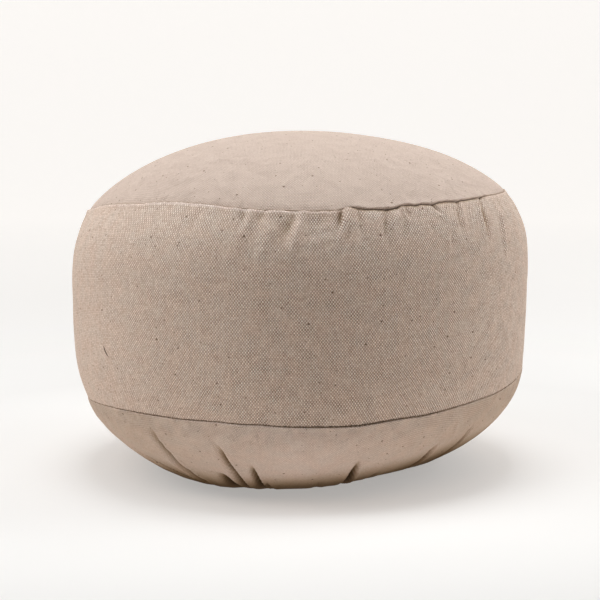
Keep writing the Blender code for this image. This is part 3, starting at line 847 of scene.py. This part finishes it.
def make_side_band():
    """The closed body of the fill with the band's strip on it."""
    # azimuths round the strip, from its join at the back, closer together at the join
    near = np.linspace(-JOIN_SPREAD, JOIN_SPREAD, JOIN_POINTS)[:-1]
    far = np.linspace(JOIN_SPREAD, 360 - JOIN_SPREAD, ROUND_POINTS)[:-1]
    azimuths = JOIN_AZIMUTH + np.concatenate([near, far])
    columns = len(azimuths)

    edge_shares = FIRST_STEPS / BAND_LENGTH
    between_edges = np.linspace(edge_shares[-1], 1 - edge_shares[-1], BAND_RINGS_BETWEEN + 2)[1:-1]
    shares = np.concatenate([edge_shares, between_edges, 1 - edge_shares[::-1]])
    depth = CLOTH + GAP
    rings = [on_cloth("crown", azimuths, share, depth, edges=False) for share in HIDDEN_ABOVE]
    rings.append(on_cloth("crown", azimuths, 1.0, depth, edges=False, onward=GAP))
    first_strip_ring = len(rings)
    aside = np.radians(degrees_from(JOIN_AZIMUTH, azimuths)) * WIDEST_RADIUS
    groove = JOIN_DEPTH * bell(aside, JOIN_HALF_WIDTH)
    outward = np.column_stack([on_circle(azimuths, 1.0), np.zeros(columns)])
    for share in shares:
        cloth = on_cloth("band", azimuths, share, onward=GAP * (0.5 if share < 0.5 else -0.5))
        rings.append(cloth - outward * groove[:, None])
    last_strip_ring = len(rings) - 1
    rings.append(on_cloth("under", azimuths, 0.0, depth, edges=False, onward=-GAP))
    rings += [on_cloth("under", azimuths, share, depth, edges=False) for share in HIDDEN_BELOW]
    points = np.concatenate(rings + [[[0.0, 0.0, TOTAL_HEIGHT - depth]], [[0.0, 0.0, depth]]])
    top_middle, bottom_middle = len(points) - 2, len(points) - 1

    # four-sided faces, each cut in two, and two fans of triangles in the middles
    ring, column, corners = ring_faces(len(rings), columns)
    around, around_next = np.arange(columns), (np.arange(columns) + 1) % columns
    last_ring = (len(rings) - 1) * columns
    faces = np.concatenate([
        corners[:, [0, 1, 2]],
        corners[:, [0, 2, 3]],
        np.stack([np.full(columns, top_middle), around, around_next], axis=1),
        np.stack([np.full(columns, bottom_middle), last_ring + around_next, last_ring + around], axis=1),
    ])

    # flat coordinates: along the strip and up it
    lengthwise = np.radians(np.append(azimuths, azimuths[0] + 360) - azimuths[0]) * WIDEST_RADIUS
    strip_height = np.zeros(len(rings))
    strip_height[first_strip_ring:last_strip_ring + 1] = (1 - shares) * BAND_LENGTH
    strip_height[:first_strip_ring] = BAND_LENGTH
    low_u, high_u = lengthwise[column], lengthwise[column + 1]
    high_v, low_v = strip_height[ring], strip_height[ring + 1]
    flat = np.concatenate([
        np.stack([low_u, high_v, low_u, low_v, high_u, low_v], axis=1).reshape(-1, 2),
        np.stack([low_u, high_v, high_u, low_v, high_u, high_v], axis=1).reshape(-1, 2),
        np.zeros((columns * 6, 2)),
    ])
    tones = np.ones((len(points), 4))
    for place, share in enumerate(shares, first_strip_ring):
        tones[place * columns:(place + 1) * columns] = tone_at("band", azimuths, share)
    return cloth_object("side_band_filled", points, faces, flat, tones, side_canvas)


side_band = make_side_band()
print("side band:", len(side_band.data.polygons), "faces")

# %% [markdown]
# ## The round panels
# A disc of rings and spokes pinches in its middle. These are square grids bent into a disc, so the faces
# stay even and the turned edge follows a circle. Shells of the square become circles round the panel,
# closer together at the seam. Two such skins, one a cloth's thickness below the other, are joined round the
# rim.

# %% Round grid
def round_grid(shells):
    """Azimuth and shell of every point of the grid, its triangles, and the points of its rim in order."""
    line = np.arange(-shells, shells + 1)
    across, deep = (values.astype(float) for values in np.meshgrid(line, line, indexing="ij"))
    shell = np.maximum(np.abs(across), np.abs(deep))
    wide = np.abs(across) >= np.abs(deep)
    safe_across = np.where(across == 0, 1, across)
    safe_deep = np.where(deep == 0, 1, deep)
    from_side = np.where(across > 0, 0, 180) + 45 * deep / safe_across
    from_front = np.where(deep > 0, 90, 270) - 45 * across / safe_deep
    azimuth = np.where(wide, from_side, from_front) % 360
    index = np.arange(len(line) ** 2).reshape(len(line), -1)
    first, right, both, beyond = index[:-1, :-1], index[1:, :-1], index[1:, 1:], index[:-1, 1:]
    middle_across, middle_deep = np.meshgrid(line[:-1] + 0.5, line[:-1] + 0.5, indexing="ij")
    same_sign = (middle_across * middle_deep > 0)[..., None]
    one = np.where(same_sign, np.stack([first, right, both], -1), np.stack([first, right, beyond], -1))
    other = np.where(same_sign, np.stack([first, both, beyond], -1), np.stack([right, both, beyond], -1))
    faces = np.concatenate([one.reshape(-1, 3), other.reshape(-1, 3)])
    rim = np.concatenate([index[:-1, 0], index[-1, :-1], index[:0:-1, -1], index[0, :0:-1]])
    return azimuth.ravel(), shell.ravel().astype(int), faces, rim


def closed_panel(name, outer, inner, faces, rim, flat, tones, material, faces_up):
    """Two skins joined round the rim; the outer one faces up or down."""
    count = len(outer)
    following = np.roll(rim, -1)
    walls = np.concatenate([
        np.stack([rim, rim + count, following + count], axis=1),
        np.stack([rim, following + count, following], axis=1),
    ])
    all_faces = np.concatenate([faces, faces[:, ::-1] + count, walls])
    if not faces_up:
        all_faces = all_faces[:, ::-1]
    both_flat = np.concatenate([flat, flat])
    points = np.concatenate([outer, inner])
    both_tones = np.concatenate([tones, tones])
    return cloth_object(name, points, all_faces, both_flat[all_faces].reshape(-1, 2), both_tones, material)


def meridian_length(zone):
    """Shares and distances along the mean section of a zone, in metres."""
    shares = np.linspace(0, 1, 400)
    sizes = sizes_at(np.arange(0, 360, 15.0)[:, None])
    radius, height = ZONES[zone](sizes, shares[None, :])
    steps = np.hypot(np.diff(radius, axis=1), np.diff(height, axis=1)).mean(axis=0)
    return shares, np.concatenate([[0], np.cumsum(steps)])


# %% Top panel
TOP_SHELLS = 92
RIM_PACKING = 1.6


def make_top_panel():
    """The panel, and the radius of the flat round that it was cut as."""
    azimuth, shell, faces, rim = round_grid(TOP_SHELLS)
    share = 1 - (1 - shell / TOP_SHELLS) ** RIM_PACKING
    outer = on_cloth("crown", azimuth, share, onward=-GAP / 2)
    inner = on_cloth("crown", azimuth, share, CLOTH, edges=False, onward=-GAP / 2)
    shares, lengths = meridian_length("crown")
    flat = on_circle(azimuth, np.interp(share, shares, lengths))
    tones = tone_at("crown", azimuth, share)
    piece = closed_panel("top_panel_canvas", outer, inner, faces, rim, flat, tones, top_canvas, True)
    return piece, lengths[-1]


top_panel, top_flat_radius = make_top_panel()
print("top panel:", len(top_panel.data.polygons), "faces, cut", round(top_flat_radius * 2000), "mm across")

# %% Bottom panel
BOTTOM_SHELLS = 108
FOOT_SHELLS = 30
TUCK_PACKING = 1.35


def make_bottom_panel():
    """The same for the panel underneath, which lies flat where the cushion stands."""
    azimuth, shell, faces, rim = round_grid(BOTTOM_SHELLS)
    on_foot = shell <= FOOT_SHELLS
    outward = np.clip((shell - FOOT_SHELLS) / (BOTTOM_SHELLS - FOOT_SHELLS), 0, 1)
    share = (1 - outward) ** TUCK_PACKING
    outer = on_cloth("under", azimuth, share, onward=GAP / 2)
    inner = on_cloth("under", azimuth, share, CLOTH, edges=False, onward=GAP / 2)
    foot_azimuth = azimuth[on_foot]
    foot_radius = sizes_at(foot_azimuth).foot_radius * (shell / FOOT_SHELLS)[on_foot]
    for skin, height in ((outer, 0.0), (inner, CLOTH)):
        skin[on_foot, :2] = on_circle(foot_azimuth, foot_radius)
        skin[on_foot, 2] = height
    shares, lengths = meridian_length("under")
    beyond_foot = FOOT_RADIUS + lengths[-1] - np.interp(share, shares, lengths)
    flat = on_circle(azimuth, np.where(on_foot, FOOT_RADIUS * shell / FOOT_SHELLS, beyond_foot))
    tones = tone_at("under", azimuth, share)
    piece = closed_panel("bottom_panel_canvas", outer, inner, faces, rim, flat, tones, bottom_canvas, False)
    return piece, FOOT_RADIUS + lengths[-1]


bottom_panel, bottom_flat_radius = make_bottom_panel()
print("bottom panel:", len(bottom_panel.data.polygons), "faces, cut", round(bottom_flat_radius * 2000), "mm")

# %% [markdown]
# ## Seam thread
# Down in each seam the lockstitches show as a row of small beads of thread, one for about every three
# millimetres: short round-ended stitches, one after the other, set a little askew, as a machine leaves
# them.

# %% Stitches
STITCH_PITCH = 3.0 * MM  # at the top seam; the bottom one has as many
STITCHES = round(2 * math.pi * TOP_SEAM_RADIUS / STITCH_PITCH)
STITCH_LENGTH, SHORTEST, LONGEST = 2.3 * MM, 0.9, 1.08
THREAD_RADIUS = 0.24 * MM
STITCH_SIDES = 6
STITCH_RINGS = ((-0.5, 0.35), (-0.42, 0.8), (-0.2, 1.0), (0.2, 1.0), (0.42, 0.8), (0.5, 0.35))
STITCH_BOW = 0.9  # how far a stitch's ends dive into the cloth
ASKEW, ASKEW_SPREAD = 0.12, 0.05  # in radians
AHEAD_STEP = 0.2  # degrees
THREAD_COLOUR = (0.60, 0.41, 0.29, 1.0)


def plain_material(name, colour, roughness):
    """One even finish with a fine twist in it, for thread and fibre."""
    material, tree, shader = new_finish(name, {"Roughness": roughness})
    place = wire(tree, "ShaderNodeTexCoord").outputs["Object"]
    twist = wire(tree, "ShaderNodeTexNoise", {"Vector": place, "Scale": 2600.0, "Detail": 2.0}).outputs[0]
    darker = tuple(channel * 0.72 for channel in colour[:3]) + (1.0,)
    feed(tree, shader, mix_colours(tree, "MIX", twist, darker, colour), twist, 0.08 * MM)
    return material


def make_thread(name, zone, sink, seed, material):
    """A ring of stitches along the seam where a zone begins, sunk below the cloth's face."""
    draw = np.random.default_rng(seed)
    azimuths = 360 * np.arange(STITCHES) / STITCHES
    middles = on_cloth(zone, azimuths, 0.0, sink, edges=False)
    ahead = on_cloth(zone, azimuths + AHEAD_STEP, 0.0, sink, edges=False) - middles
    ahead /= np.linalg.norm(ahead, axis=1)[:, None]
    inward = on_cloth(zone, azimuths, 0.0, sink + MM, edges=False) - middles
    inward /= np.linalg.norm(inward, axis=1)[:, None]
    aside = np.cross(ahead, inward)
    askew = draw.normal(ASKEW, ASKEW_SPREAD, STITCHES)
    along = ahead * np.cos(askew)[:, None] + aside * np.sin(askew)[:, None]
    across = np.cross(along, inward)
    points, faces = [], []
    walls = ring_faces(len(STITCH_RINGS), STITCH_SIDES)[2][:, [0, 3, 2, 1]]
    for stitch in range(STITCHES):
        first = len(points)
        length = STITCH_LENGTH * draw.uniform(SHORTEST, LONGEST)
        for place, girth in STITCH_RINGS:
            bow = inward[stitch] * (abs(place) ** 2 * STITCH_BOW * MM)
            for side in range(STITCH_SIDES):
                angle = 2 * math.pi * side / STITCH_SIDES
                offset = inward[stitch] * math.cos(angle) + across[stitch] * math.sin(angle)
                offset = offset * THREAD_RADIUS * girth
                points.append(middles[stitch] + along[stitch] * place * length + bow + offset)
        last = first + (len(STITCH_RINGS) - 1) * STITCH_SIDES
        faces += (first + walls).tolist()
        faces.append(tuple(range(first + STITCH_SIDES - 1, first - 1, -1)))
        faces.append(tuple(range(last, last + STITCH_SIDES)))
    return add_piece(name, new_mesh(name, [tuple(point) for point in points], faces), material)


thread_finish = plain_material("seam_thread", THREAD_COLOUR, 0.75)
top_thread = make_thread("top_seam_thread", "band", 1.5 * MM, 5, thread_finish)
bottom_thread = make_thread("bottom_seam_thread", "under", 0.7 * MM, 6, thread_finish)
print("stitches:", STITCHES, "in each seam,", len(top_thread.data.polygons), "faces each")

# %% [markdown]
# ## A stray fibre
# A dark fibre, seven millimetres long, is caught in the weave low on the left of the band. It is a fine
# bent tube that lies on the cloth.

# %% Stray fibre
FIBRE_PLACES = ((218.2, 0.690), (218.6, 0.705), (219.2, 0.723), (220.0, 0.738))
FIBRE_RADIUS = 0.26 * MM
FIBRE_LIFT = 0.6  # of its radius, how high it lies on the cloth
FIBRE_ENDS = 0.45  # of its radius, how thick it is at its ends
FIBRE_COLOUR = (0.11, 0.075, 0.05, 1.0)


def make_fibre(name, places, radius, material):
    """A bent tube through places on the band, thinner at its ends."""
    middles = [on_cloth("band", azimuth, share, -radius * FIBRE_LIFT)[0] for azimuth, share in places]
    curve = bpy.data.curves.new(name + "_path", "CURVE")
    curve.dimensions = "3D"
    curve.bevel_depth = radius
    curve.bevel_resolution = 2
    curve.use_fill_caps = True
    spline = curve.splines.new("POLY")
    spline.points.add(len(middles) - 1)
    for point, place in zip(spline.points, middles):
        point.co = (*place, 1.0)
    spline.points[0].radius = spline.points[-1].radius = FIBRE_ENDS
    route = bpy.data.objects.new(name + "_path", curve)
    mesh = bpy.data.meshes.new_from_object(route)
    bpy.data.objects.remove(route)
    mesh.name = name
    return add_piece(name, mesh, material)


fibre_finish = plain_material("dark_fibre", FIBRE_COLOUR, 0.9)
fibre = make_fibre("stray_fibre", FIBRE_PLACES, FIBRE_RADIUS, fibre_finish)
print("fibre:", len(fibre.data.polygons), "faces")

# %% [markdown]
# ## Putting each piece on the body
# Every piece rides on the cushion's one body. The canvas pieces stand for their solids, the threads and the
# fibre are extra.

# %% Bodies
for piece, node, slot in (
    (side_band, "filled_side_band", "side_canvas"),
    (top_panel, "top_panel", "top_canvas"),
    (bottom_panel, "bottom_panel", "bottom_canvas"),
):
    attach(piece, "root")
    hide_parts(node)
for piece, slot in ((top_thread, "side_canvas"), (bottom_thread, "bottom_canvas"), (fibre, "side_canvas")):
    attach(piece, "root")
print("three canvas pieces, two threads and a fibre ride on the body root")

# %% [markdown]
# ## Floor and light
# A plain pale floor that curves up into the wall all round, and five soft boxes: one overhead, two high up
# at the left and the right, and one low on each side. None is straight behind the camera, so the front of
# the band is the darkest part, as in a studio with a dark camera side. The floor is lit a little from
# within where the boxes don't reach. That fades towards the camera, and comes back on the floor behind it.

# %% Floor
FLOOR_COLOUR = (0.535, 0.50, 0.472, 1.0)
GLOW_TINT = (1.0, 0.99, 0.972, 1.0)
GLOW_UNDER, GLOW_NEAR, GLOW_FAR = 0.37, 0.34, 0.73  # under the cushion, beside it and far from it
UNDER_START, UNDER_END = 0.15, 0.26
GLOW_START, GLOW_WIDTH = 0.37, 0.50  # where the glow begins to grow, in metres from the middle
FRONT_START, FRONT_END, GLOW_FRONT = 0.20, 0.72, 0.0  # how the glow fades towards the camera side
BEHIND_START, BEHIND_END, GLOW_BEHIND = 0.50, 1.30, 0.38  # and comes back on the floor behind the camera
BEHIND_LOW, BEHIND_HIGH = 0.05, 0.40  # heights between which it ends on the wall there
FLOOR_RADIUS, WALL_RADIUS, WALL_HEIGHT = 2.6, 1.2, 2.6
FLOOR_COLUMNS, SWEEP_STEPS = 96, 12
FLOOR_DROP = 0.0003  # so that the foot isn't in the floor


def floor_finish():
    """Matte white paint, lit a little from within where the soft boxes don't reach."""
    material, tree, shader = new_finish("pale_floor", {
        "Base Color": FLOOR_COLOUR, "Roughness": 0.95, "Specular IOR Level": 0.0, "Emission Color": GLOW_TINT,
    })
    make, work = partial(wire, tree), partial(calculate, tree)
    place = make("ShaderNodeTexCoord").outputs["Object"]
    flat = vectors(tree, "MULTIPLY", place, (1.0, 1.0, 0.0))
    distance = make("ShaderNodeVectorMath", {0: flat}, operation="LENGTH").outputs["Value"]
    split = make("ShaderNodeSeparateXYZ", {0: place})
    deep, height = split.outputs[1], split.outputs[2]
    beyond = work("MAXIMUM", work("SUBTRACT", distance, GLOW_START), 0.0)
    fade = work("EXPONENT", work("DIVIDE", beyond, -GLOW_WIDTH))
    close_glow = between(tree, ramp(tree, distance, UNDER_START, UNDER_END), GLOW_UNDER, GLOW_NEAR)
    glow = between(tree, fade, GLOW_FAR, close_glow)
    behind = ramp(tree, distance, BEHIND_START, BEHIND_END, GLOW_FRONT, GLOW_BEHIND)
    behind = work("MULTIPLY", behind, ramp(tree, height, BEHIND_HIGH, BEHIND_LOW))
    glow = between(tree, ramp(tree, deep, -FRONT_START, -FRONT_END), glow, behind)
    tree.links.new(glow, shader.inputs["Emission Strength"])
    return material


def make_floor():
    """A round floor with its edge swept up into a wall."""
    profile = [(1.0, 0.0), (FLOOR_RADIUS, 0.0)]
    for step in range(1, SWEEP_STEPS + 1):
        angle = math.pi / 2 * step / SWEEP_STEPS
        profile.append((FLOOR_RADIUS + WALL_RADIUS * math.sin(angle), WALL_RADIUS * (1 - math.cos(angle))))
    profile.append((FLOOR_RADIUS + WALL_RADIUS, WALL_HEIGHT))
    angles = [2 * math.pi * column / FLOOR_COLUMNS for column in range(FLOOR_COLUMNS)]
    points = [(0.0, 0.0, 0.0)]
    for radius, height in profile:
        points += [(radius * math.cos(angle), radius * math.sin(angle), height) for angle in angles]
    faces = [(0, 1 + column, 1 + (column + 1) % FLOOR_COLUMNS) for column in range(FLOOR_COLUMNS)]
    faces += (ring_faces(len(profile), FLOOR_COLUMNS)[2] + 1).tolist()
    floor = add_piece("pale_floor", new_mesh("pale_floor", points, faces), floor_finish())
    floor.location.z = -FLOOR_DROP
    return floor


make_floor()
print("floor:", FLOOR_RADIUS, "m to where it curves up")

# %% Lights
LIGHT_AIM = (0.0, 0.0, 0.12)
LIGHT_COLOUR = (0.93, 1.0, 1.05)
# name, azimuth (0 is the camera's side, 90 the right), distance, height, size, watts and spread in degrees
LIGHTS = (
    ("overhead", 0, 0.0, 1.7, (0.8, 0.8), 1.95, 50),
    ("high_right", 102.5, 0.92, 1.3, (0.8, 1.2), 6.8, 180),
    ("high_left", -58, 0.92, 1.3, (0.8, 1.2), 8.5, 180),
    ("left", -84, 1.4, 0.6, (0.55, 1.0), 4.7, 180),
    ("right", 90, 1.4, 0.6, (0.55, 1.0), 5.4, 180),
)

for name, azimuth, distance, height, size, watts, spread in LIGHTS:
    turn = math.radians(azimuth)
    data = bpy.data.lights.new(name, "AREA")
    data.shape = "RECTANGLE"
    data.size, data.size_y = size
    data.energy = watts
    data.spread = math.radians(spread)
    data.color = LIGHT_COLOUR
    light = bpy.data.objects.new(name, data)
    light.location = (math.sin(turn) * distance, -math.cos(turn) * distance, height)
    light.rotation_euler = (Vector(LIGHT_AIM) - light.location).to_track_quat("-Z", "Y").to_euler()
    bpy.context.scene.collection.objects.link(light)
